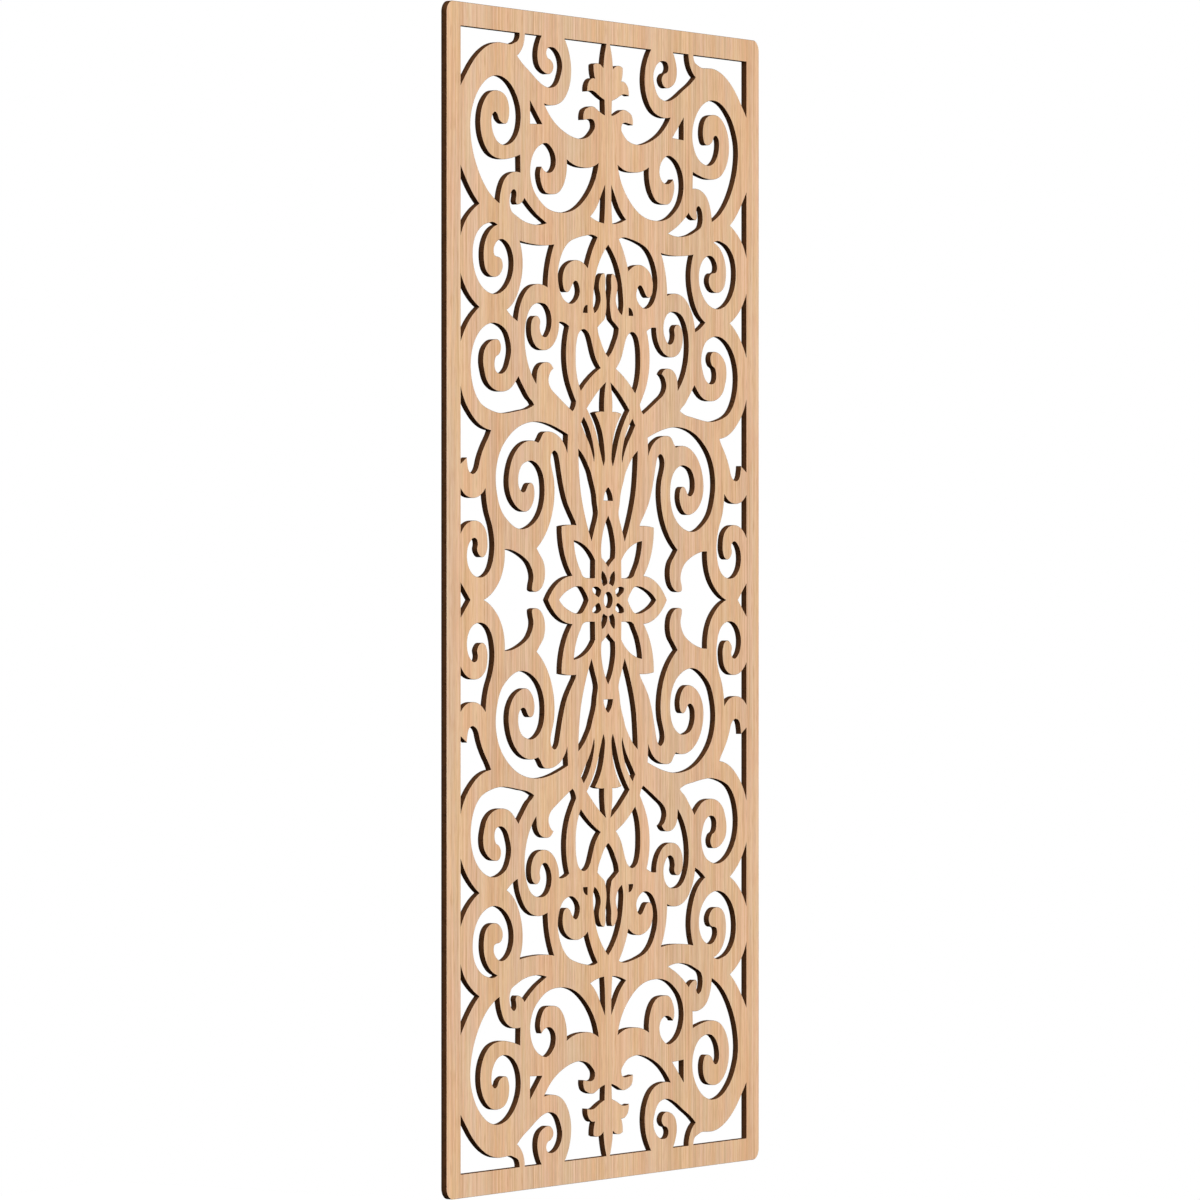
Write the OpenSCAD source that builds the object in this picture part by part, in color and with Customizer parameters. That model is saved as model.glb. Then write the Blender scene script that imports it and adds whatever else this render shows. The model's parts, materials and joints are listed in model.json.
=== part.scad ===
// Fretwork wall panel: one flat sheet of veneered board, sawn through with
// traditional scrollwork inside a plain border.
// X runs along the width, Z is up, and the front faces -Y.
// The origin is the middle of the panel in all three directions.

/* [Panel] */
// Width of the whole panel
panel_w = 593.7; // [500:0.1:700]
// Height of the whole panel
panel_h = 1187.4; // [1000:0.1:1400]
// Width of the plain border down each side
side_border = 25.4; // [20:0.1:40]
// Height of the plain border along the top and the bottom
end_border = 23.8; // [18:0.1:40]
// Radius of the four outer corners
corner_r = 11.6; // [4:0.1:16]

/* [Board] */
// Thickness of the face veneer and of the back veneer
veneer_t = 0.6; // [0.4:0.05:1.2]
// Thickness of the fibre core between the veneers
core_t = 5.15; // [3:0.05:12]

/* [Flower] */
// Diameter of the hole in the middle of the flower
flower_hole_d = 16.4; // [10:0.2:20]

/* [Curves] */
// Turn of a curve from one flat to the next, in degrees
curve_step = 14; // [8:1:24]

/* [Hidden] */
veneer_colour = [0.87, 0.72, 0.58];
core_colour = [0.26, 0.17, 0.11];

board_t = core_t + 2 * veneer_t;
front_y = -board_t / 2;
opening_w = panel_w - 2 * side_border;
opening_h = panel_h - 2 * end_border;
// Sides of the outer corners and of the flower's hole in a full turn
round_sides = 48;

// A knot is [x, z] on a smooth stretch, or [x, z, sharp] where the outline
// turns a corner. Each list below is one cut-out of the upper right quarter.
sharp = 1;

// Motif at the top of the centreline
tulip = [
    [3.5, 570, sharp], [82, 570, sharp], [76, 561.3], [70.4, 546],
    [71.5, 526], [87, 505.9], [101, 501.4], [120, 501.7, sharp], [105, 487],
    [85, 476.5], [66, 471.1], [50, 470.4], [31.5, 477], [25.3, 485.5],
    [27.3, 489.8], [31.5, 491.2], [38, 490.9], [47.2, 489.6, sharp],
    [47.3, 494.8], [45.2, 499.4], [39, 502.8], [28, 504.5], [17, 500.2],
    [6.5, 497, sharp], [7.2, 512.4, sharp], [17, 515.7], [27.5, 520],
    [39.7, 519.2, sharp], [37.4, 528.8], [25.2, 533.4, sharp],
    [27.8, 541.5], [28, 547.5, sharp], [20.5, 549.3], [9.2, 545.3, sharp],
    [7.3, 558]
];
top_scroll = [
    [125.3, 570, sharp], [155.5, 570, sharp], [158, 559], [162, 553],
    [169.6, 547, sharp], [160, 540], [147, 533], [125, 521.5],
    [114, 518.8], [95, 524.3], [90.2, 531.5], [87.1, 543],
    [93.5, 554.8], [107.5, 559.6], [114, 557.8], [116, 553],
    [114, 549.2], [106.5, 546], [102.8, 540.8], [105.5, 534.8],
    [112, 532.1], [120, 533.4], [130, 540], [132.9, 550], [130, 562.2]
];
top_sliver = [[124, 481, sharp], [145.9, 480, sharp], [146, 503, sharp]];
corner_spandrel = [
    [165.5, 570, sharp], [271.5, 570, sharp], [271.5, 511.5, sharp],
    [261.8, 523], [249.5, 536.5], [220, 554.9], [205, 558.2],
    [193, 558.1], [181, 557.9], [174, 560.1], [168.3, 562.7]
];
corner_scroll = [
    [204, 524.7], [188, 521], [173.5, 510], [163.5, 486.5], [168, 470],
    [185, 457.3], [207, 460.1], [213, 467], [216, 475.5], [214.3, 485.5],
    [209.5, 488], [205.3, 485.3], [203.3, 481.6], [199.5, 478.9],
    [194, 477.2], [188.2, 478.4], [185.2, 483], [184, 490], [190, 505],
    [202.5, 509.6], [216, 508.5], [231, 496.5], [236.8, 477],
    [228, 453], [220, 446.2], [211, 442.8], [182, 443.2],
    [164.5, 447.5, sharp], [164, 430, sharp], [176, 430], [192.5, 422],
    [199.5, 410], [202, 397.5, sharp], [222, 408.5], [240, 428.5],
    [252, 455], [254.4, 471], [253.2, 483], [249.2, 493.5],
    [241.5, 505.9], [233.5, 513.7], [224, 520.1]
];
upper_scroll = [
    [114.5, 461.7], [126.5, 459.7], [137.5, 452.6], [145.7, 431],
    [139.5, 413.8], [128.8, 404.1], [117.5, 397.6], [90, 393.3],
    [63, 398], [40, 412.3], [25.5, 429], [18.3, 447, sharp],
    [33, 441.8], [47, 440.9], [62, 442.2], [78, 447.5, sharp],
    [79.2, 431.5], [83.2, 422.6], [92, 414], [106, 410.9],
    [119.5, 413.2], [125.2, 420], [127.4, 425.5], [128.1, 430.2],
    [127.3, 434.4], [125, 438, sharp], [119.5, 434], [112.5, 432.5],
    [104, 435], [99, 443], [100, 450], [106.5, 457.8]
];
upper_sliver = [
    [6.1, 425.2, sharp], [13.5, 414], [20.4, 403.4], [33.7, 391.7, sharp],
    [22, 388.1], [8, 386.2, sharp], [6.7, 400]
];
leaf_scroll = [
    [20.5, 371, sharp], [29, 373], [43, 371.8], [61, 368.2], [72, 364.6],
    [82, 357.5], [89.6, 347], [94.3, 325], [80, 303.5], [64, 303],
    [54.3, 317], [62, 324.9], [68, 320.4], [73, 314.5], [77.7, 312.8],
    [82, 314.2], [85.9, 322], [84, 334], [69, 344.8], [50, 344.8],
    [38.8, 339, sharp], [29.3, 359]
];
shield = [
    [102, 360, sharp], [121, 358.3], [140, 358.6], [165, 361, sharp],
    [159.4, 340], [164.5, 316], [173, 302], [188.5, 291, sharp],
    [180, 285.3], [169, 280.5, sharp], [160.8, 302.6], [154.6, 309.9],
    [147, 315.2], [126, 319.1], [114, 316.5, sharp], [109, 345]
];
side_scroll = [
    [206, 375.5, sharp], [214.5, 377.6], [221.5, 376.5], [229, 374.6],
    [248, 356.5], [250, 345], [248, 332], [230.5, 311], [208, 306.3],
    [188, 315], [177.6, 330.5], [180, 350.5], [187, 357.8],
    [200, 361.1], [208.6, 356.8], [212.2, 349.8], [211, 345.4],
    [207.5, 343.8], [203, 343.4], [199, 341.8], [195.7, 335],
    [200, 327], [212.5, 323], [225, 327.8], [230.6, 343], [224.5, 363.5]
];
side_sliver = [
    [238.5, 395, sharp], [250, 404.5], [260.3, 416],
    [271.5, 431, sharp], [271.5, 363, sharp], [263, 377.3],
    [252.5, 386.8]
];
hook = [
    [116, 381.2, sharp], [123, 384.2], [131, 387.7], [140, 392.7],
    [156.3, 404.3, sharp], [161, 400.1], [166, 397.9], [170.7, 397.9],
    [172.6, 400.6], [171.7, 405.5], [171.7, 409.6], [175, 412.2],
    [180.3, 409.4], [183.2, 402.5], [183, 396.3], [180.2, 390.8],
    [172, 386.6], [160, 382.1], [145, 379.3], [130, 378.9]
];
small_sliver = [
    [39.3, 301, sharp], [44.5, 299.2], [47.4, 293.2, sharp],
    [39.3, 293.2, sharp]
];
bell = [
    [14.8, 237.6, sharp], [24, 247.2], [30.6, 261], [36.3, 271.5],
    [46.5, 276.2], [55.5, 271.8], [59.3, 264], [61.2, 250],
    [56.3, 221.5], [51.6, 213.6, sharp], [30, 229.8]
];
middle_scroll = [
    [74, 278, sharp], [82, 281.3], [92, 282, sharp], [100.5, 261],
    [120, 252.5], [140, 260], [144.7, 273], [141.5, 283.7], [135, 286.9],
    [130, 285.5], [127.3, 282], [128.1, 275.5], [124.5, 267.8],
    [118, 266], [110, 272], [106.8, 284], [115, 297.4], [127, 300],
    [141, 297], [154.3, 278], [155.8, 262], [152.8, 246],
    [134.7, 218.5, sharp], [134.2, 225], [133.1, 230.6], [129.4, 235.9],
    [117, 240.6], [108.5, 239.4], [102.7, 234.3, sharp],
    [109.8, 228.6], [111.8, 222], [109.2, 216.2], [98, 208.4],
    [83, 200.2], [67.5, 192.3, sharp], [62.7, 197.1],
    [61, 202.2, sharp], [67, 210.5], [74, 222.5], [79.8, 248]
];
lower_scroll = [
    [211, 277], [199.5, 274.9], [188.3, 268.6], [184, 262], [181.2, 250],
    [184.2, 239.7], [187.5, 233.4], [200, 226.8], [208.5, 229.5],
    [210.7, 236.8], [208, 243.3], [202.5, 246], [199, 254],
    [202, 259.4], [211, 260.7], [221.3, 257], [229, 249.8], [231.6, 238],
    [229.2, 228], [224.7, 219], [216, 212.3], [200, 208.7],
    [180, 213.4], [174.5, 217.7], [167.5, 224.5, sharp],
    [155.5, 211.2], [147.5, 203.3], [142.2, 200.1], [139, 197, sharp],
    [151, 192.8], [163, 191.1], [175, 189.3], [202, 187.3],
    [220, 190.4], [236, 196.7], [253, 226], [252.9, 241.5],
    [248.2, 254.8], [230, 272.5]
];
lower_sliver = [
    [238.5, 292, sharp], [261, 308.3], [271.5, 323.5, sharp],
    [271.5, 257.5, sharp], [254, 280.7]
];
side_leaf = [
    [271.5, 211, sharp], [259, 190.9], [254, 186.1], [240, 175.9],
    [217.5, 169.5, sharp], [221.5, 163.3], [226.5, 157.3],
    [236.5, 141.6], [243, 128.8], [250, 125.7], [257.2, 128.9],
    [259.2, 134], [260.5, 141.8, sharp], [266, 138.7],
    [271.5, 135.5, sharp]
];
side_hook = [
    [227.2, 111.3, sharp], [237, 104.1], [250.5, 101.5], [263, 104.2],
    [271.5, 110.5, sharp], [271.5, 66.5, sharp], [262.5, 75], [250, 79],
    [233, 75.7], [226.6, 69.9], [223.6, 60], [224.4, 49.5],
    [228, 44.3], [233.5, 42.6], [240, 45.9], [242.5, 50.5],
    [241.2, 56], [242.4, 59.6], [247.5, 61.7], [254.5, 58],
    [260.3, 44], [250, 25.8], [238, 22.7], [225, 25.8], [211.5, 52],
    [216, 75], [222.5, 88]
];
vase_side = [
    [4.6, 222.9, sharp], [20, 212.9], [33, 202.2], [40.4, 195.5, sharp],
    [32, 185.5], [23, 171.5], [11.4, 143], [8.9, 137.8, sharp],
    [6.7, 143], [7.2, 153], [14, 176.2], [19.2, 184.1],
    [25.6, 191.3, sharp], [19.5, 192.7], [8, 193.1, sharp], [7.8, 207]
];
vase_slot = [
    [46.5, 186.5, sharp], [51.5, 180, sharp], [44, 170.2], [35, 158.8],
    [29.3, 148.3], [26.8, 142, sharp], [26.3, 148], [28.7, 158.3],
    [34, 171]
];
centre_scroll = [
    [76, 168, sharp], [90.5, 172.7], [105, 176.6], [138, 179.8],
    [170, 172.7], [187, 162.4], [199.4, 150], [203.7, 142.7],
    [208.4, 119], [205.3, 103.8], [198.7, 90.2], [192.3, 83.9],
    [185.2, 79], [170, 72.3], [146, 74.5], [125, 91], [119.8, 111.5],
    [125, 130], [145, 140.3], [153, 139], [160, 136.2], [165.3, 130],
    [167.6, 121], [165.6, 112.6], [159, 108.6], [155.3, 109.4],
    [152.6, 112.3], [149.4, 116.5], [145, 118.2], [140.5, 116.4],
    [138, 110.5], [140, 99], [149.7, 89.9], [167, 91.6], [184.3, 110],
    [182.6, 134], [160, 157.5], [131, 159, sharp], [126.3, 163.7],
    [122.5, 168.2], [109, 170.5], [96.5, 167.6], [90, 164.5],
    [77.2, 150, sharp]
];
long_leaf = [
    [56.3, 153.7, sharp], [55.3, 136], [51.7, 110], [45.5, 90.3],
    [31.6, 60.6, sharp], [24.6, 76.3], [19.9, 89.5], [22, 98.5],
    [23.6, 108], [29.8, 122.5], [33.3, 130.6], [38, 137], [43.7, 143.9]
];
slant_petal = [
    [25, 40.5, sharp], [33, 48.6], [50, 57.6], [64.7, 60.5, sharp],
    [61, 45], [55.5, 34.5], [51, 28.6], [48.7, 25.2], [44.6, 23.1],
    [36, 22.4], [25.4, 22.5, sharp]
];
upper_seed = [
    [1.7, 17, sharp], [5, 25], [11.5, 29.5, sharp], [12.8, 23],
    [9, 14.3, sharp]
];
lower_seed = [
    [13.7, 9.9, sharp], [20, 13.1], [30, 12, sharp], [29.2, 9.1],
    [25, 6.2], [21, 4], [17.6, 3.4], [15.2, 5.8]
];

// Half outlines of the cut-outs astride the upright centreline, from top to
// bottom. Both ends lie on the line.
heart = [
    [0, 364, sharp], [20, 340.5], [28, 312], [28.7, 303],
    [26, 293.5, sharp], [14.8, 307], [18, 322.5], [15.5, 330],
    [11, 334.3], [7.3, 334.7], [5.3, 331], [5.5, 321], [3, 305],
    [4.9, 292.5], [6.9, 287.8], [11.2, 284.8], [20, 279, sharp],
    [17.8, 271.3], [13.8, 264.8], [8.2, 256.4], [0, 249.5, sharp]
];
upright_petal = [
    [0, 86, sharp], [7.7, 74], [11.2, 64.5], [13.3, 52],
    [12.4, 43.2, sharp], [6.3, 39.3], [0, 34.3, sharp]
];
vase_foot = [[0, 115.5, sharp], [5.6, 110.3], [8.7, 102, sharp], [0, 102, sharp]];

// Half outlines of the cut-outs astride the mid-height line, from the middle
// of the panel outwards
level_petal = [
    [37.4, 0, sharp], [40, 4], [45, 9.4], [49.2, 12.8], [56, 13.9],
    [73, 10.7], [88.5, 3.1], [92, 0, sharp]
];
wing = [
    [113.2, 0, sharp], [95, 17], [68, 24.8, sharp], [81, 43],
    [88, 75, sharp], [76, 76.4], [60.5, 76.4, sharp], [62.3, 79.7],
    [66.8, 85], [71.4, 90.6], [77.2, 98.5], [84.5, 114.5], [89, 129],
    [92.3, 141], [95.4, 148.1], [100.5, 151.2], [106, 148.3], [108.2, 142.3], [106.6, 135],
    [102.3, 124], [103.5, 92], [117, 67], [133.8, 52.2, sharp],
    [127.8, 45.9], [121.2, 38.8], [118.3, 26.5], [122.3, 15],
    [132.5, 8.6], [139.5, 8.6], [142.6, 10], [142.7, 13.2],
    [140.2, 22.5], [147, 36.3], [158, 43.1], [171, 47.9],
    [184, 50.5], [192, 50.7, sharp], [201.3, 19.3], [210.5, 10.2],
    [220, 4], [230, 0, sharp]
];
side_point = [[254.5, 0, sharp], [271.5, 17, sharp], [271.5, 0, sharp]];

quarter_cuts = [
    tulip, top_scroll, top_sliver, corner_spandrel, corner_scroll,
    upper_scroll, upper_sliver, leaf_scroll, shield, side_scroll,
    side_sliver, hook, small_sliver, bell, middle_scroll, lower_scroll,
    lower_sliver, side_leaf, side_hook, vase_side, vase_slot, centre_scroll,
    long_leaf, slant_petal, upper_seed, lower_seed
];
upright_cuts = [heart, upright_petal, vase_foot];
level_cuts = [level_petal, wing, side_point];

// The corner spandrel's own corner is where the drawn pattern ends, and the
// pattern stretches until it lies in the corner of the opening.
drawn_corner = corner_spandrel[1];
stretch_x = opening_w / 2 / drawn_corner.x;
stretch_z = opening_h / 2 / drawn_corner.y;

// Curve through the knots: on a smooth stretch each span leaves and reaches
// its knots along the circle through the three nearest ones.
function place(knot) = [knot.x, knot.y];
function is_sharp(knot) = len(knot) > 2;
function along(a, b) = (b - a) / norm(b - a);
function through(before, at, after) =
    let (back = at - before, ahead = after - at)
    let (way = back / (back * back) + ahead / (ahead * ahead))
    way / norm(way);
function mirrored_way(way, chord) = 2 * (way * chord) * chord - way;
function knot_way(knots, i) =
    let (n = len(knots))
    through(place(knots[(i + n - 1) % n]), place(knots[i]), place(knots[(i + 1) % n]));
function turn(a, b) = acos(max(-1, min(1, a * b)));

function span(knots, i) =
    let (j = (i + 1) % len(knots))
    let (from = place(knots[i]), to = place(knots[j]))
    let (chord = along(from, to))
    let (out_free = !is_sharp(knots[i]), in_free = !is_sharp(knots[j]))
    let (out_knot = out_free ? knot_way(knots, i) : chord)
    let (in_knot = in_free ? knot_way(knots, j) : chord)
    let (out_way = out_free ? out_knot : mirrored_way(in_knot, chord))
    let (in_way = in_free ? in_knot : mirrored_way(out_knot, chord))
    let (half_turn = (turn(out_way, chord) + turn(chord, in_way)) / 2)
    let (handle = norm(to - from) * 2 / 3 / (1 + cos(half_turn)))
    let (steps = max(1, ceil(2 * half_turn / curve_step)))
    [for (k = [0 : steps - 1])
        bezier(from, from + handle * out_way, to - handle * in_way, to, k / steps)];
function bezier(a, b, c, d, t) =
    let (s = 1 - t)
    s * s * s * a + 3 * s * s * t * b + 3 * s * t * t * c + t * t * t * d;
function outline(knots) = [for (i = [0 : len(knots) - 1]) each span(knots, i)];
function stretched(points) = [for (p = points) [p.x * stretch_x, p.y * stretch_z]];

// The other half of an outline that starts and ends on a line of symmetry
function other_half(knots, flip) =
    [for (i = [len(knots) - 2 : -1 : 1])
        let (p = [knots[i].x * flip.x, knots[i].y * flip.y])
        is_sharp(knots[i]) ? [p.x, p.y, sharp] : p];
function whole(knots, flip) = concat(knots, other_half(knots, flip));

module cut_out(knots) {
    polygon(stretched(outline(knots)));
}

module both_sides() {
    children();
    mirror([1, 0]) children();
}

module both_ends() {
    children();
    mirror([0, 1]) children();
}

module fretwork() {
    both_ends() both_sides() {
        for (knots = quarter_cuts) cut_out(knots);
    }
    both_ends() {
        for (knots = upright_cuts) cut_out(whole(knots, [-1, 1]));
    }
    both_sides() {
        for (knots = level_cuts) cut_out(whole(knots, [1, -1]));
    }
    circle(d = flower_hole_d, $fn = round_sides);
}

module blank() {
    rim_w = panel_w / 2 - corner_r;
    rim_h = panel_h / 2 - corner_r;
    square([panel_w, 2 * rim_h], center = true);
    square([2 * rim_w, panel_h], center = true);
    for (x = [-rim_w, rim_w], z = [-rim_h, rim_h]) {
        translate([x, z]) circle(r = corner_r, $fn = round_sides);
    }
}

// One layer of the board, from the depth y backwards
module layer(y, thickness) {
    translate([0, y + thickness, 0]) rotate([90, 0, 0]) linear_extrude(thickness) {
        difference() {
            blank();
            fretwork();
        }
    }
}

module front_veneer() {
    color(veneer_colour) layer(front_y, veneer_t);
}

module core() {
    color(core_colour) layer(front_y + veneer_t, core_t);
}

module back_veneer() {
    color(veneer_colour) layer(front_y + veneer_t + core_t, veneer_t);
}

front_veneer();
core();
back_veneer();
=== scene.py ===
"""Fretwork wall panel: three glued layers of board, sawn through with scrollwork.

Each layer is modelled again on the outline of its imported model, with true curves
and smooth cut walls, and the veneers get sanded arrises. Then each layer gets its
veneer or fibre and the heat-browned walls that all of them share.
"""

import json
from math import cos, pi, radians, sin

import bmesh
import bpy
from bpy.props import (
    FloatProperty,
    FloatVectorProperty,
    IntProperty,
    PointerProperty,
)
from mathutils import Color, Matrix, Vector

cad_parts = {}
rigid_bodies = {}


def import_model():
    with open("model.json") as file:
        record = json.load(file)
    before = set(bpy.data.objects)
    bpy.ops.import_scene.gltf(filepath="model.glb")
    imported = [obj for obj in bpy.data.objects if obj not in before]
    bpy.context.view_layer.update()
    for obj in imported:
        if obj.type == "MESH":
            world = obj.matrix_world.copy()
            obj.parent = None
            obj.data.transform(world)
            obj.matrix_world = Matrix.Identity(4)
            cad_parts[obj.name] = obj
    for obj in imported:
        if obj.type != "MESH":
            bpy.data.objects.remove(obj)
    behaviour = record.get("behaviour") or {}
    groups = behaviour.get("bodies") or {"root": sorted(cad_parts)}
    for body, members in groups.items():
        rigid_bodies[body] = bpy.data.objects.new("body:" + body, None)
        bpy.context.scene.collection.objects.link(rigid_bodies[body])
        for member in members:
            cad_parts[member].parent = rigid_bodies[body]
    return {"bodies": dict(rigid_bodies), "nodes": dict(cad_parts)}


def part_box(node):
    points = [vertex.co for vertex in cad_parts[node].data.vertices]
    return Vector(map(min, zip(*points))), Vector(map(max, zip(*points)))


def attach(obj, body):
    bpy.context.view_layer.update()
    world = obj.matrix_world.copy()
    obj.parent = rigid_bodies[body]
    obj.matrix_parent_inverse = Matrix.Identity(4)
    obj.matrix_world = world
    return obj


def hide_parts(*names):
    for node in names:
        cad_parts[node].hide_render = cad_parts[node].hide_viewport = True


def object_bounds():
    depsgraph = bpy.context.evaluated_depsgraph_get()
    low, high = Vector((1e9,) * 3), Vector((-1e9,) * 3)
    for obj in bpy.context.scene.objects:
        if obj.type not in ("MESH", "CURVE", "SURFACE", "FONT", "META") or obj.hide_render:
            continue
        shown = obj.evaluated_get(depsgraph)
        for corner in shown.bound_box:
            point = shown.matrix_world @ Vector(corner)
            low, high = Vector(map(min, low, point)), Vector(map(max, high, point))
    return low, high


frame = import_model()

bl_info = {
    "name": "Fretwork Wall Panel",
    "version": (1, 0, 0),
    "blender": (4, 5, 0),
    "location": "View3D > Sidebar > Fretwork",
    "description": "Models the sawn layers of a fretwork wall panel and sets up its studio",
    "category": "Add Mesh",
}

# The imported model: its box and middle, its layers from front to back, and its one body
CAD_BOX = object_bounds()
PANEL_MIDDLE = (CAD_BOX[0] + CAD_BOX[1]) / 2
FRONT = "front_veneer"
CORE = "core"
BACK = "back_veneer"
BODY = next(iter(frame["bodies"]))
FRONT_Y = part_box(FRONT)[0].y
BACK_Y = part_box(BACK)[1].y

# The outward way of the panel's two faces
FORWARD = Vector((0, -1, 0))
BACKWARD = Vector((0, 1, 0))

# The ways from the panel to its two lamps
FRONT_LAMP_WAY = Vector((-0.4, -1, 0.3))
BACK_LAMP_WAY = Vector((0.4, 1, 0.3))

# A face whose normal is within a degree of a way looks along it
LOOKS_ALONG = cos(radians(1))

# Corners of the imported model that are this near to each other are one, in metres
WELD_REACH = 1e-5

# A flat this many times longer than the next one is a straight side
SIDE_RATIO = 20

# Where a marking starts and where it is whole, as levels of its noise, which keeps near
# 0.5. The streaks are two noises added together, and early wood grows as its noise falls.
STREAK_LEVELS = (0.65, 1.35)
TINT_LEVELS = (0.38, 0.62)
LATE_LEVELS = (0.5, 0.72)
EARLY_LEVELS = (0.5, 0.28)
PORE_LEVELS = (0.52, 0.8)
MARK_LEVELS = (0.4, 0.75)
SOFT_LEVELS = (0.3, 0.7)

# Height of a growth line, for a pore's depth of 1
LINE_HEIGHT = 0.3

# Share of a scorch's width over which it is black all through
SCORCH_CORE = 0.4

# Numbers of the Mix node's sockets for colours, as its other sockets have the same names
MIX_AMOUNT = 0
MIX_FROM = 6
MIX_TO = 7
MIX_RESULT = 2

# The photograph's width, and the column where it shows the middle of the panel
PHOTO_SIDE_PX = 1200
PANEL_MIDDLE_PX = 605.6

# Width of the camera's sensor, which its focal length goes with
SENSOR_MM = 36

WHITE = (1, 1, 1, 1)


# Settings

def colour(name, description, red, green, blue):
    """A colour setting, given as it looks on a screen, from 0 to 255."""
    return FloatVectorProperty(
        name=name, description=description, default=(red / 255, green / 255, blue / 255),
        size=3, min=0, max=1, subtype="COLOR_GAMMA",
    )


def length(name, description, metres):
    """A length setting in metres."""
    return FloatProperty(
        name=name, description=description, default=metres, min=0, precision=5,
        subtype="DISTANCE", unit="LENGTH",
    )


def share(name, description, default):
    """A setting from 0 to 1."""
    return FloatProperty(
        name=name, description=description, default=default, min=0, max=1,
        subtype="FACTOR",
    )


class SawnShape(bpy.types.PropertyGroup):
    """How the outlines and edges of the layers are made."""

    corner_turn: FloatProperty(
        name="Corner turn", description="An outline that turns by more at a point has a corner",
        default=radians(37), subtype="ANGLE", unit="ROTATION",
    )
    flats: IntProperty(
        name="Flats", description="Flats on each curve between two points of an outline",
        default=3, min=1,
    )
    arris: length("Arris", "Radius sanded onto the outer edge of each veneer", 0.0003)
    arris_steps: IntProperty(
        name="Arris steps", description="Strips around the sanded arris", default=3, min=1,
    )


class VeneerFinish(bpy.types.PropertyGroup):
    """The sanded, unfinished face veneer."""

    light: colour("Light streak", "Lightest streak of the grain", 238, 206, 170)
    dark: colour("Dark streak", "Darkest streak of the grain", 209, 167, 121)
    warm: colour("Warm tint", "Yellowish tint of the grain", 232, 184, 132)
    cool: colour("Cool tint", "Greyish tint of the grain", 211, 184, 153)
    rose: colour("Rose stain", "Stain over the grain where it is rosiest", 255, 247, 255)
    late: colour("Late wood", "Thin darker line of late wood", 194, 153, 109)
    early: colour("Early wood", "Thin paler line of early wood", 241, 210, 174)
    pore: colour("Pore", "Colour of the open pores", 184, 133, 90)
    long_width: length("Long streak width", "Width of a streak that runs the whole height", 0.026)
    long_length: length("Long streak length", "Length of a streak that runs the whole height", 3.0)
    streak_width: length("Streak width", "Width of one short streak of grain", 0.012)
    streak_length: length("Streak length", "Length of one short streak of grain", 0.08)
    tint_width: length("Tint width", "Width of a stripe of one tint", 0.052)
    tint_length: length("Tint length", "Length of a stripe of one tint", 0.75)
    rose_width: length("Rose width", "Width of a rosy stripe", 0.026)
    rose_length: length("Rose length", "Length of a rosy stripe", 0.25)
    line_width: length("Line width", "Width of one line of late or early wood", 0.00192)
    line_length: length("Line length", "Length of one line of late or early wood", 0.16)
    pore_width: length("Pore width", "Width of one pore", 0.0011)
    pore_length: length("Pore length", "Length of one pore", 0.022)
    sway: length("Sway", "How far the grain strays to each side on its way up", 0.0015)
    sway_width: length("Sway width", "Width of the grain that strays together", 0.12)
    sway_length: length("Sway length", "Height over which the grain strays once", 0.32)
    tint_share: share("Tint share", "How much of the tints shows", 0.46)
    line_share: share("Line share", "How much of the late and early wood lines shows", 0.58)
    pore_share: share("Pore share", "How much of the pores shows", 0.55)
    relief: length("Relief", "Depth of the open grain", 0.00004)
    roughness: share("Roughness", "Mean roughness of the sanded face", 0.62)
    rough_swing: share("Roughness swing", "How far the roughness strays up and down", 0.06)
    shine: share("Shine", "Specular level of the sanded face", 0.2)


class BurntFinish(bpy.types.PropertyGroup):
    """The cut walls, browned by the heat of the cut, and the fibre inside."""

    front: colour("Front brown", "Cut wall near the front face", 97, 61, 35)
    back: colour("Back brown", "Cut wall near the back face", 73, 50, 34)
    soot: colour("Soot", "Darkest marks on the cut wall", 30, 18, 10)
    fibre: colour("Fibre", "Uncut face of the fibre core", 158, 122, 88)
    mark_width: length("Mark width", "Width of one mark across the cut wall", 0.0007)
    cloud_size: length("Cloud size", "Size of a cloud of soot on the cut wall", 0.011)
    scorch: length("Scorch", "Width of the black scorch beside each face", 0.0005)
    speck_size: length("Speck size", "Size of a speck in the uncut fibre", 0.0006)
    relief: length("Relief", "Depth of the marks on the cut wall and in the fibre", 0.00008)
    roughness: share("Roughness", "Roughness of the cut wall and the fibre", 0.88)
    wall_shine: share("Wall shine", "Specular level of the cut wall", 0)
    fibre_shine: share("Fibre shine", "Specular level of the uncut fibre", 0.1)


class StudioSetting(bpy.types.PropertyGroup):
    """The floor, the light and the camera."""

    drop: length("Drop", "Height of the panel's lower edge above the floor", 0.3)
    floor_side: length("Floor side", "Length of one side of the floor", 5.0)
    floor_colour: colour("Floor", "Colour of the floor", 245, 245, 245)
    horizon: share("Horizon", "Rise above level at which the light from above is full", 0.3)
    sky: share("Sky", "Light from above, where 1 shows white as white", 1.0)
    ground: share("Ground", "Light from below, where 1 shows white as white", 0.05)
    key: share("Key", "Light of the front lamp on the panel's face", 0.69)
    fill: share("Fill", "Light of the back lamp on the panel's back", 0.4)
    lamp_reach: length("Lamp reach", "Distance of a lamp from the panel", 12.0)
    lamp_side: length("Lamp side", "Length of one side of a lamp", 8.0)
    camera_reach: length("Camera reach", "Distance of the camera from the panel", 6.996)
    camera_turn: FloatProperty(
        name="Camera turn", description="Way round the panel from straight in front",
        default=radians(-57.37), subtype="ANGLE", unit="ROTATION",
    )
    lens: FloatProperty(
        name="Lens", description="Focal length in millimetres", default=204.6, min=1,
    )


# Selecting and modelling

def pick(piece):
    """Makes a piece the only one that is selected, and the active one."""
    bpy.ops.object.select_all(action="DESELECT")
    piece.select_set(True)
    bpy.context.view_layer.objects.active = piece


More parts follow.
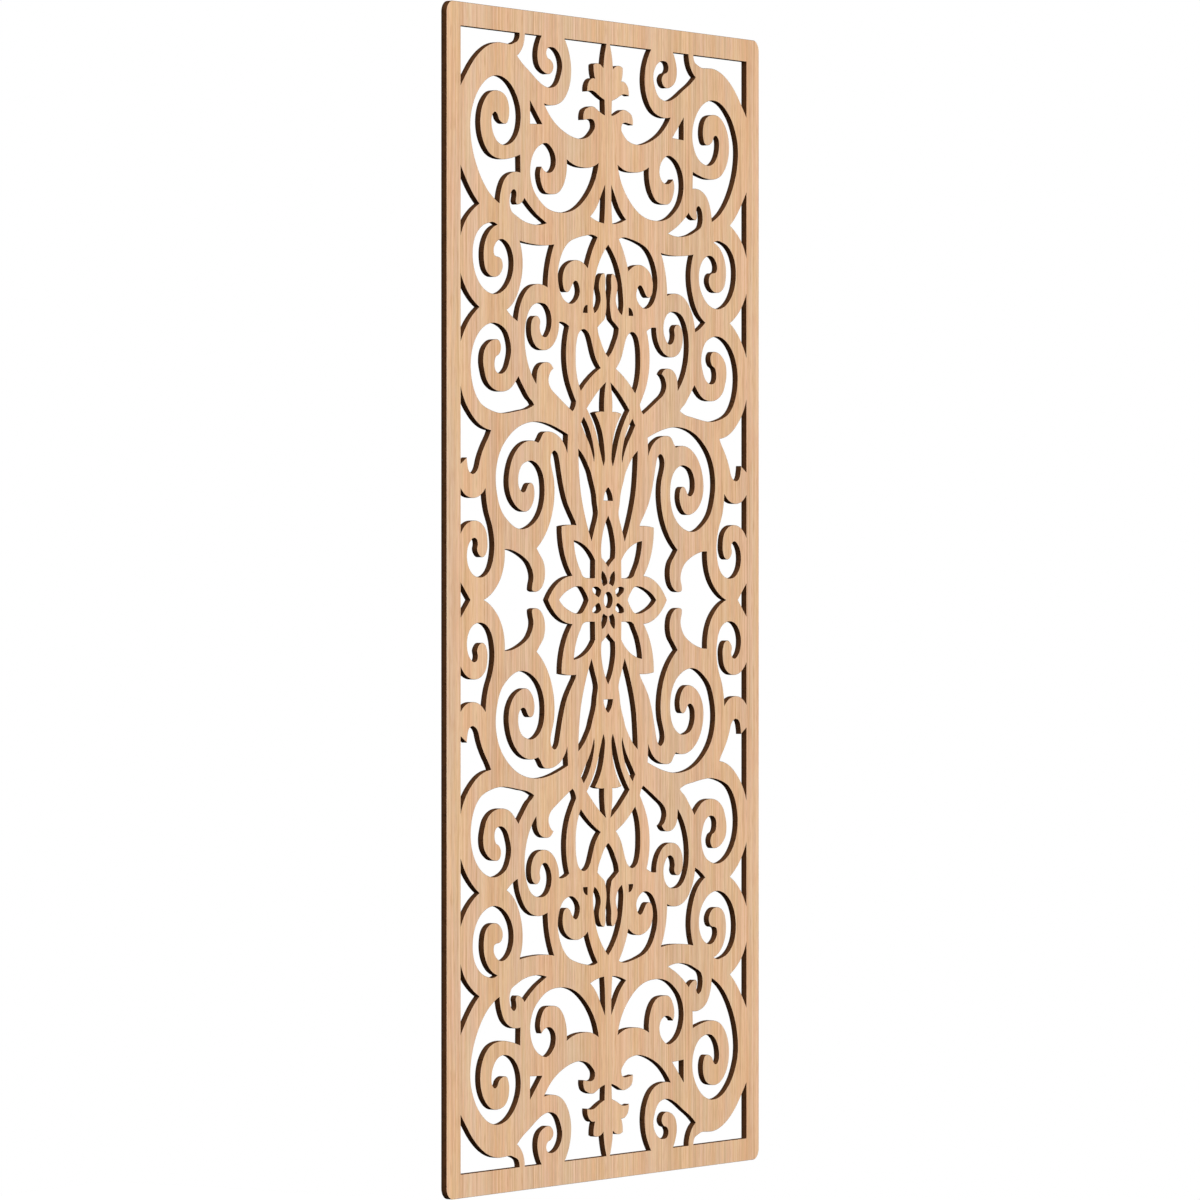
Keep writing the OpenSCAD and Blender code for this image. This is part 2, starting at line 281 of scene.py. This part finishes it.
def select_facing(piece, way):
    """In edit mode, selects just the faces that look along a way."""
    bpy.ops.mesh.select_mode(type="FACE")
    bpy.ops.mesh.select_all(action="DESELECT")
    mesh = bmesh.from_edit_mesh(piece.data)
    for face in mesh.faces:
        if face.normal.dot(way) > LOOKS_ALONG:
            face.select_set(True)
    mesh.select_flush(True)
    bmesh.update_edit_mesh(piece.data)


def rim_of(layer, way, name):
    """A wire copy of the outlines of a layer's face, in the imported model's straight flats."""
    rim = bpy.data.objects.new(name, frame["nodes"][layer].data.copy())
    bpy.context.scene.collection.objects.link(rim)
    rim.data.materials.clear()
    pick(rim)
    bpy.ops.object.mode_set(mode="EDIT")
    bpy.ops.mesh.select_all(action="SELECT")
    bpy.ops.mesh.remove_doubles(threshold=WELD_REACH)
    select_facing(rim, way)
    bpy.ops.mesh.region_to_loop()
    bpy.ops.mesh.select_all(action="INVERT")
    bpy.ops.mesh.delete(type="EDGE")
    bpy.ops.object.mode_set(mode="OBJECT")
    return rim


def way_through(before, here, after):
    """The way in which an outline passes a place.

    It is along the circle through the place and its neighbours, or along a
    straight side that ends there.
    """
    back = here - before
    ahead = after - here
    if ahead.length > SIDE_RATIO * back.length:
        return ahead.normalized()
    if back.length > SIDE_RATIO * ahead.length:
        return back.normalized()
    return (back / back.length_squared + ahead / ahead.length_squared).normalized()


def ways_along(spots, corner_turn):
    """The way in which an outline passes each of its places, and None at a corner."""
    ways = []
    for i, here in enumerate(spots):
        before = spots[i - 1]
        after = spots[(i + 1) % len(spots)]
        is_corner = (here - before).angle(after - here) > corner_turn
        ways.append(None if is_corner else way_through(before, here, after))
    return ways


def bend(spline, corner_turn):
    """Turns an outline of straight flats into arcs that meet smoothly except at its corners.

    At a corner an arc leaves or arrives as steeply to its chord as it does at its
    other end. A flat between two corners stays straight.
    """
    points = spline.bezier_points
    spots = [point.co.copy() for point in points]
    ways = ways_along(spots, corner_turn)
    for i, start in enumerate(spots):
        j = (i + 1) % len(spots)
        chord = spots[j] - start
        if ways[i] is None and ways[j] is None:
            points[i].handle_right_type = "VECTOR"
            points[j].handle_left_type = "VECTOR"
            continue
        along = chord.normalized()
        leave = ways[i] or 2 * ways[j].dot(along) * along - ways[j]
        arrive = ways[j] or 2 * ways[i].dot(along) * along - ways[i]
        half_turn = (leave.angle(chord) + arrive.angle(chord)) / 2
        # The length at which two handles bend a curve into an arc of a circle
        handle = chord.length * 2 / 3 / (1 + cos(half_turn))
        points[i].handle_right_type = "FREE"
        points[j].handle_left_type = "FREE"
        points[i].handle_right = start + handle * leave
        points[j].handle_left = spots[j] - handle * arrive


def smooth_rim(rim, shape):
    """Draws the wire's straight flats again as curves, and makes it a finer wire."""
    pick(rim)
    bpy.ops.object.convert(target="CURVE")
    bpy.ops.object.mode_set(mode="EDIT")
    bpy.ops.curve.select_all(action="SELECT")
    bpy.ops.curve.spline_type_set(type="BEZIER")
    bpy.ops.object.mode_set(mode="OBJECT")
    rim.data.resolution_u = shape.flats
    for spline in rim.data.splines:
        bend(spline, shape.corner_turn)
    bpy.ops.object.convert(target="MESH")


def sawn_layer(layer, way, shape, name, arris):
    """One layer of the board: its smooth outlines filled and made as thick as the layer is.

    The face that looks along the way gets an arris, unless that is 0.
    """
    low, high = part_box(layer)
    thickness = high.y - low.y
    piece = rim_of(layer, way, name)
    smooth_rim(piece, shape)
    bpy.ops.object.mode_set(mode="EDIT")
    bpy.ops.mesh.select_all(action="SELECT")
    bpy.ops.mesh.fill(use_beauty=True)
    bpy.ops.mesh.select_all(action="SELECT")
    bpy.ops.transform.translate(value=-arris * way)
    bpy.ops.mesh.extrude_region_move(
        TRANSFORM_OT_translate={"value": -(thickness - arris) * way}
    )
    bpy.ops.mesh.select_all(action="SELECT")
    bpy.ops.mesh.normals_make_consistent(inside=False)
    if arris:
        select_facing(piece, way)
        sand_arris(arris, shape.arris_steps)
    bpy.ops.object.mode_set(mode="OBJECT")
    bpy.ops.object.shade_smooth_by_angle(angle=shape.corner_turn)
    return piece


def sand_arris(radius, steps):
    """In edit mode, rounds the rim of the selected face with strips of a quarter circle."""
    reached = Vector((0, 0))
    for step in range(1, steps + 1):
        turn = pi / 2 * step / steps
        spot = Vector((radius * (1 - cos(turn)), radius * sin(turn)))
        bpy.ops.mesh.inset(
            thickness=spot.x - reached.x, depth=spot.y - reached.y,
            use_boundary=True, use_even_offset=True,
        )
        reached = spot


def finish_layer(piece, layer, face_material, wall_material):
    """Shades and paints the flat faces and the cut walls, and puts the piece in its place."""
    piece.data.materials.append(face_material)
    piece.data.materials.append(wall_material)
    for face in piece.data.polygons:
        is_flat = abs(face.normal.y) > LOOKS_ALONG
        face.material_index = 0 if is_flat else 1
        if is_flat:
            face.use_smooth = False
    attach(piece, BODY)
    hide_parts(layer)


# Materials

def linear(screen_colour):
    """A colour socket's value for a colour as it looks on a screen."""
    return (*Color(screen_colour).from_srgb_to_scene_linear(), 1)


def add(tree, kind, inputs=None, **settings):
    """Adds a node, with its settings, and a value or a wire for each input, by name or number."""
    made = tree.nodes.new(kind)
    for name, value in settings.items():
        setattr(made, name, value)
    for name, value in (inputs or {}).items():
        if isinstance(value, bpy.types.NodeSocket):
            tree.links.new(value, made.inputs[name])
        else:
            made.inputs[name].default_value = value
    return made


def empty_tree(owner):
    """The node tree of a material or a world, with nothing in it."""
    owner.use_nodes = True
    owner.node_tree.nodes.clear()
    return owner.node_tree


def new_material(name):
    """An empty material, its node tree and its coordinates: the panel's own, in metres."""
    material = bpy.data.materials.new(name)
    tree = empty_tree(material)
    place = add(tree, "ShaderNodeTexCoord").outputs["Object"]
    return material, tree, place


def noise(tree, place, size, detail=3, roughness=0.5, shift=0):
    """Noise whose blobs have this size along X, Y and Z, in metres.

    With a shift of its own, it doesn't line up with the other noises of its material.
    """
    scaled = add(tree, "ShaderNodeMapping", {
        "Vector": place,
        "Location": (shift, shift, shift),
        "Scale": tuple(1 / side for side in size),
    })
    return add(tree, "ShaderNodeTexNoise", {
        "Vector": scaled.outputs["Vector"],
        "Scale": 1,
        "Detail": detail,
        "Roughness": roughness,
    }).outputs["Fac"]


def spread(tree, value, low, high, least=0, most=1):
    """Stretches low to high over least to most, with a smooth start and end."""
    return add(tree, "ShaderNodeMapRange", {
        "Value": value,
        "From Min": low,
        "From Max": high,
        "To Min": least,
        "To Max": most,
    }, interpolation_type="SMOOTHSTEP").outputs["Result"]


def maths(tree, operation, a, b):
    """Two numbers put together."""
    made = add(tree, "ShaderNodeMath", {0: a, 1: b}, operation=operation)
    return made.outputs["Value"]


def mix(tree, amount, a, b, blend="MIX"):
    """Colour a turning into colour b, or into their blend, by an amount from 0 to 1."""
    made = add(tree, "ShaderNodeMix", {
        MIX_AMOUNT: amount,
        MIX_FROM: a,
        MIX_TO: b,
    }, data_type="RGBA", blend_type=blend)
    return made.outputs[MIX_RESULT]


def finish_material(tree, base, roughness, height, depth, shine):
    """The surface, with its colour, roughness and the depth of its relief in metres."""
    relief = add(tree, "ShaderNodeBump", {
        "Height": height,
        "Distance": depth,
    })
    surface = add(tree, "ShaderNodeBsdfPrincipled", {
        "Base Color": base,
        "Roughness": roughness,
        "Normal": relief.outputs["Normal"],
        "Specular IOR Level": shine,
    })
    add(tree, "ShaderNodeOutputMaterial", {"Surface": surface.outputs["BSDF"]})


def book_matched(tree, place):
    """Coordinates that run the same way up and down from mid-height, as book-matched veneer."""
    parts = add(tree, "ShaderNodeSeparateXYZ", {"Vector": place}).outputs
    height = maths(tree, "ABSOLUTE", parts["Z"], 0)
    return add(tree, "ShaderNodeCombineXYZ", {
        "X": parts["X"],
        "Y": parts["Y"],
        "Z": height,
    }).outputs["Vector"]


def swaying(tree, leaf, finish):
    """Coordinates that stray a little sideways on their way up, as grain does."""
    size = (finish.sway_width, finish.streak_width, finish.sway_length)
    stray = noise(tree, leaf, size, detail=1)
    sideways = spread(tree, stray, 0, 1, -finish.sway, finish.sway)
    offset = add(tree, "ShaderNodeCombineXYZ", {"X": sideways})
    return add(tree, "ShaderNodeVectorMath", {
        0: leaf,
        1: offset.outputs["Vector"],
    }, operation="ADD").outputs["Vector"]


def veneer_material(finish):
    """Pale sanded veneer: streaks, tints, growth lines and pores, all upright."""
    material, tree, place = new_material("sanded_veneer")
    grain = swaying(tree, book_matched(tree, place), finish)
    deep = finish.streak_width
    long_size = (finish.long_width, deep, finish.long_length)
    streak_size = (finish.streak_width, deep, finish.streak_length)
    tint_size = (finish.tint_width, deep, finish.tint_length)
    rose_size = (finish.rose_width, deep, finish.rose_length)
    line_size = (finish.line_width, deep, finish.line_length)
    pore_size = (finish.pore_width, finish.pore_width, finish.pore_length)
    long_streak = noise(tree, grain, long_size, detail=4, roughness=0.6)
    streak = noise(tree, grain, streak_size, detail=6, roughness=1, shift=3)
    tint = noise(tree, grain, tint_size, detail=6, roughness=0.85, shift=5)
    rose = noise(tree, grain, rose_size, detail=6, roughness=0.9, shift=11)
    line = noise(tree, grain, line_size, detail=2, shift=7)
    pore = noise(tree, grain, pore_size, detail=1, shift=9)

    both = maths(tree, "ADD", long_streak, streak)
    base = mix(tree, spread(tree, both, *STREAK_LEVELS), linear(finish.dark), linear(finish.light))
    hue = mix(tree, spread(tree, tint, *TINT_LEVELS), linear(finish.cool), linear(finish.warm))
    base = mix(tree, finish.tint_share, base, hue)
    late = spread(tree, line, *LATE_LEVELS, 0, finish.line_share)
    base = mix(tree, late, base, linear(finish.late))
    early = spread(tree, line, *EARLY_LEVELS, 0, finish.line_share)
    base = mix(tree, early, base, linear(finish.early))
    open_pore = spread(tree, pore, *PORE_LEVELS, 0, finish.pore_share)
    base = mix(tree, open_pore, base, linear(finish.pore))
    base = mix(tree, spread(tree, rose, *TINT_LEVELS), base, linear(finish.rose), "MULTIPLY")

    swing = spread(tree, streak, *SOFT_LEVELS, -finish.rough_swing, finish.rough_swing)
    rough = maths(tree, "ADD", swing, finish.roughness)
    height = maths(tree, "SUBTRACT", maths(tree, "MULTIPLY", line, LINE_HEIGHT), open_pore)
    finish_material(tree, base, rough, height, finish.relief, finish.shine)
    return material


def near_face(tree, across, face_y, reach):
    """1 on the arris beside a face of the panel, and 0 beyond a reach down the cut wall."""
    gap = maths(tree, "ABSOLUTE", maths(tree, "SUBTRACT", across, face_y), 0)
    return spread(tree, gap, reach, reach * SCORCH_CORE)


def burnt_material(finish):
    """Cut wall browned by heat: warmer at the front, with marks across it and clouds of soot.

    All the layers share it, so it is made once.
    """
    name = "heat_browned_cut"
    if name in bpy.data.materials:
        return bpy.data.materials[name]
    material, tree, place = new_material(name)
    across = add(tree, "ShaderNodeSeparateXYZ", {"Vector": place}).outputs["Y"]
    depth = spread(tree, across, FRONT_Y, BACK_Y)
    mark_size = (finish.mark_width, BACK_Y - FRONT_Y, finish.mark_width)
    mark = noise(tree, place, mark_size, detail=2)
    cloud = noise(tree, place, (finish.cloud_size,) * 3, detail=3, shift=4)
    marked = spread(tree, mark, *MARK_LEVELS)
    sooty = maths(tree, "MULTIPLY", marked, spread(tree, cloud, *SOFT_LEVELS))
    for face_y in (FRONT_Y, BACK_Y):
        sooty = maths(tree, "MAXIMUM", sooty, near_face(tree, across, face_y, finish.scorch))
    base = mix(tree, depth, linear(finish.front), linear(finish.back))
    base = mix(tree, sooty, base, linear(finish.soot))
    finish_material(tree, base, finish.roughness, mark, finish.relief, finish.wall_shine)
    return material


def fibre_material(finish):
    """The core's uncut face: plain pressed fibre with fine specks."""
    material, tree, place = new_material("pressed_fibre")
    speck = noise(tree, place, (finish.speck_size,) * 3, detail=4, roughness=0.7)
    brown = spread(tree, speck, *SOFT_LEVELS)
    base = mix(tree, brown, linear(finish.fibre), linear(finish.front))
    finish_material(tree, base, finish.roughness, speck, finish.relief, finish.fibre_shine)
    return material


# Stage

def lit_and_seen(tree, lit, seen, output):
    """Ends a tree in one shader for light on the panel, and another for what is looked at.

    The second is for the camera, reflections and what shows through clear glass.
    """
    ray = add(tree, "ShaderNodeLightPath").outputs
    looked_at = maths(tree, "MAXIMUM", ray["Is Camera Ray"], ray["Is Glossy Ray"])
    looked_at = maths(tree, "MAXIMUM", looked_at, ray["Is Transmission Ray"])
    both = add(tree, "ShaderNodeMixShader", {0: looked_at, 1: lit, 2: seen})
    add(tree, output, {"Surface": both.outputs["Shader"]})


def light_world(studio):
    """A white background to look at, and soft light that comes mostly from above."""
    world = bpy.data.worlds.new("studio_world")
    bpy.context.scene.world = world
    tree = empty_tree(world)
    way = add(tree, "ShaderNodeTexCoord").outputs["Generated"]
    rise = add(tree, "ShaderNodeSeparateXYZ", {"Vector": way}).outputs["Z"]
    strength = spread(tree, rise, 0, studio.horizon, studio.ground, studio.sky)
    light = add(tree, "ShaderNodeBackground", {"Color": WHITE, "Strength": strength})
    white = add(tree, "ShaderNodeBackground", {"Color": WHITE})
    lit = light.outputs["Background"]
    seen = white.outputs["Background"]
    lit_and_seen(tree, lit, seen, "ShaderNodeOutputWorld")


def floor_material(studio):
    """Pale floor that takes the panel's shadow and throws little light back up."""
    material = bpy.data.materials.new("pale_floor")
    tree = empty_tree(material)
    dim = add(tree, "ShaderNodeBsdfDiffuse", {"Color": (studio.ground,) * 3 + (1,)})
    pale = add(tree, "ShaderNodeBsdfDiffuse", {"Color": linear(studio.floor_colour)})
    lit_and_seen(tree, dim.outputs["BSDF"], pale.outputs["BSDF"], "ShaderNodeOutputMaterial")
    return material


def lay_floor(studio):
    """The floor under the panel."""
    bpy.ops.object.select_all(action="DESELECT")
    bpy.ops.mesh.primitive_plane_add(
        size=studio.floor_side, location=(0, 0, CAD_BOX[0].z - studio.drop)
    )
    floor = bpy.context.active_object
    floor.name = "floor"
    floor.data.materials.append(floor_material(studio))


def aim(thing, target):
    """Points a lamp or a camera at a place."""
    thing.rotation_euler = (target - thing.location).to_track_quat("-Z", "Y").to_euler()


def hang_lamp(name, way, level, studio):
    """A soft square lamp on one side of the panel, at a level where 1 shows white as white."""
    place = PANEL_MIDDLE + way.normalized() * studio.lamp_reach
    bpy.ops.object.light_add(type="AREA", location=place)
    lamp = bpy.context.active_object
    lamp.name = name
    lamp.visible_camera = False
    lamp.data.size = studio.lamp_side
    # A lamp's light on a face that looks at it fades with (pi times its distance) squared
    lamp.data.energy = level * (pi * studio.lamp_reach) ** 2
    aim(lamp, PANEL_MIDDLE)


def place_camera(studio):
    """The camera, turned until the panel's middle shows in the same column as in the photo."""
    turn = Matrix.Rotation(studio.camera_turn, 3, "Z")
    place = PANEL_MIDDLE + turn @ FORWARD * studio.camera_reach
    bpy.ops.object.camera_add(location=place)
    camera = bpy.context.active_object
    camera.data.sensor_width = SENSOR_MM
    camera.data.lens = studio.lens
    aim(camera, PANEL_MIDDLE)
    lens_px = studio.lens / SENSOR_MM * PHOTO_SIDE_PX
    camera.rotation_euler.z += (PANEL_MIDDLE_PX - PHOTO_SIDE_PX / 2) / lens_px
    bpy.context.scene.camera = camera


# Operators

class FRETWORK_OT_add_veneers(bpy.types.Operator):
    """Models the front and back veneers, with their outer arrises sanded"""

    bl_idname = "fretwork.add_veneers"
    bl_label = "Add Veneers"

    def execute(self, context):
        scene = context.scene
        shape = scene.sawn_shape
        wood = veneer_material(scene.veneer_finish)
        burnt = burnt_material(scene.burnt_finish)
        for layer, way, name in (
            (FRONT, FORWARD, "sawn_front_veneer"),
            (BACK, BACKWARD, "sawn_back_veneer"),
        ):
            piece = sawn_layer(layer, way, shape, name, shape.arris)
            finish_layer(piece, layer, wood, burnt)
        return {"FINISHED"}


class FRETWORK_OT_add_core(bpy.types.Operator):
    """Models the fibre core between the veneers"""

    bl_idname = "fretwork.add_core"
    bl_label = "Add Core"

    def execute(self, context):
        scene = context.scene
        piece = sawn_layer(CORE, FORWARD, scene.sawn_shape, "sawn_core", arris=0)
        fibre = fibre_material(scene.burnt_finish)
        finish_layer(piece, CORE, fibre, burnt_material(scene.burnt_finish))
        return {"FINISHED"}


class FRETWORK_OT_add_studio(bpy.types.Operator):
    """Sets up the floor, the lamps, the white background and the camera"""

    bl_idname = "fretwork.add_studio"
    bl_label = "Add Studio"

    def execute(self, context):
        studio = context.scene.studio_setting
        light_world(studio)
        lay_floor(studio)
        hang_lamp("front_lamp", FRONT_LAMP_WAY, studio.key, studio)
        hang_lamp("back_lamp", BACK_LAMP_WAY, studio.fill, studio)
        place_camera(studio)
        context.scene.view_settings.view_transform = "Standard"
        return {"FINISHED"}


class FRETWORK_PT_panel(bpy.types.Panel):
    """Sizes, finishes and steps of the fretwork panel"""

    bl_label = "Fretwork Wall Panel"
    bl_idname = "FRETWORK_PT_panel"
    bl_space_type = "VIEW_3D"
    bl_region_type = "UI"
    bl_category = "Fretwork"

    def draw(self, context):
        for name, group in GROUPS.items():
            box = self.layout.box()
            for setting in group.__annotations__:
                box.prop(getattr(context.scene, name), setting)
        for operator in OPERATORS:
            self.layout.operator(operator.bl_idname)


GROUPS = {
    "sawn_shape": SawnShape,
    "veneer_finish": VeneerFinish,
    "burnt_finish": BurntFinish,
    "studio_setting": StudioSetting,
}
OPERATORS = (FRETWORK_OT_add_veneers, FRETWORK_OT_add_core, FRETWORK_OT_add_studio)
CLASSES = (*GROUPS.values(), *OPERATORS, FRETWORK_PT_panel)


def register():
    for each in CLASSES:
        bpy.utils.register_class(each)
    for name, group in GROUPS.items():
        setattr(bpy.types.Scene, name, PointerProperty(type=group))


def unregister():
    for name in GROUPS:
        delattr(bpy.types.Scene, name)
    for each in reversed(CLASSES):
        bpy.utils.unregister_class(each)


def main():
    register()
    bpy.ops.fretwork.add_veneers()
    bpy.ops.fretwork.add_core()
    bpy.ops.fretwork.add_studio()


if __name__ == "__main__":
    main()
